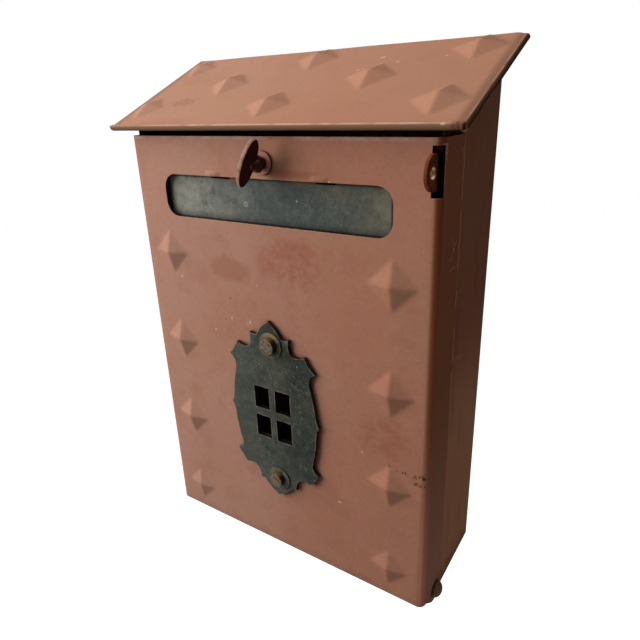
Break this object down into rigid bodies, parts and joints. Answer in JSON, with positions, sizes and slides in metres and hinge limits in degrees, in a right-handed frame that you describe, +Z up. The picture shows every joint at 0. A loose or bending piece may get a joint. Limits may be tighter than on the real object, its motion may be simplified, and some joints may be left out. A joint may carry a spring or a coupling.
{
  "type": "wall letter box",
  "caption": "Weathered wall letter box of folded sheet steel with a pitched roof, a mail slot with an inner flap, a bottom-hinged door, a thumb turn and a padlock lug.",
  "frame": {"origin": "on the back panel's outer face, in the middle of its width and level with the door's bottom edge", "axes": "+Z up, +Y into the wall that the box hangs on, so the door faces -Y and its hinge runs along X"},
  "size_m": [0.2648, 0.1178, 0.384],
  "materials": {
    "copper_paint": "satin, worn and stained",
    "brown_paint": "satin, worn",
    "dull_zinc": "dull galvanised, mottled",
    "dark_patina": "dark patina with light worn edges",
    "aged_brass": "tarnished",
    "maroon_iron": "dark paint with worn rims",
    "rusty_steel": "rusty"
  },
  "bodies": {
    "box": {"body_shell": "copper_paint", "floor_panel": "brown_paint", "roof_panel": "copper_paint", "header_strip": "brown_paint", "hasp_ear": "maroon_iron", "hasp_rivet_lower": "maroon_iron", "hasp_rivet_upper": "maroon_iron", "hinge_rivet_left": "maroon_iron", "hinge_rivet_right": "maroon_iron", "hinge_washer_left": "rusty_steel", "hinge_washer_right": "rusty_steel"},
    "door": {"door_panel": "copper_paint", "crest_plate": "dark_patina", "crest_stud_bottom": "aged_brass", "crest_stud_top": "aged_brass", "crest_washer_bottom": "aged_brass", "crest_washer_top": "aged_brass", "crest_nut_bottom": "rusty_steel", "crest_nut_top": "rusty_steel", "latch_collar": "maroon_iron", "latch_cup_spring": "rusty_steel", "flap_wire": "rusty_steel", "flap_clip_left": "rusty_steel", "flap_clip_right": "rusty_steel"},
    "latch": {"latch_knob": "maroon_iron", "latch_cam": "rusty_steel", "latch_nut": "rusty_steel"},
    "flap": {"mail_flap": "dull_zinc"}
  },
  "joints": [
    {"name": "door_hinge", "type": "hinge", "parent": "box", "child": "door", "pos_m": [0, -0.075, 0.0012], "axis": [1, 0, 0], "range_deg": [0, 120]},
    {"name": "latch_turn", "type": "hinge", "parent": "door", "child": "latch", "pos_m": [0.002, -0.096, 0.3029], "axis": [0, -1, 0], "range_deg": [0, 115]},
    {"name": "flap_hinge", "type": "hinge", "parent": "door", "child": "flap", "pos_m": [0, -0.0929, 0.2944], "axis": [1, 0, 0], "range_deg": [0, 75]}
  ]
}
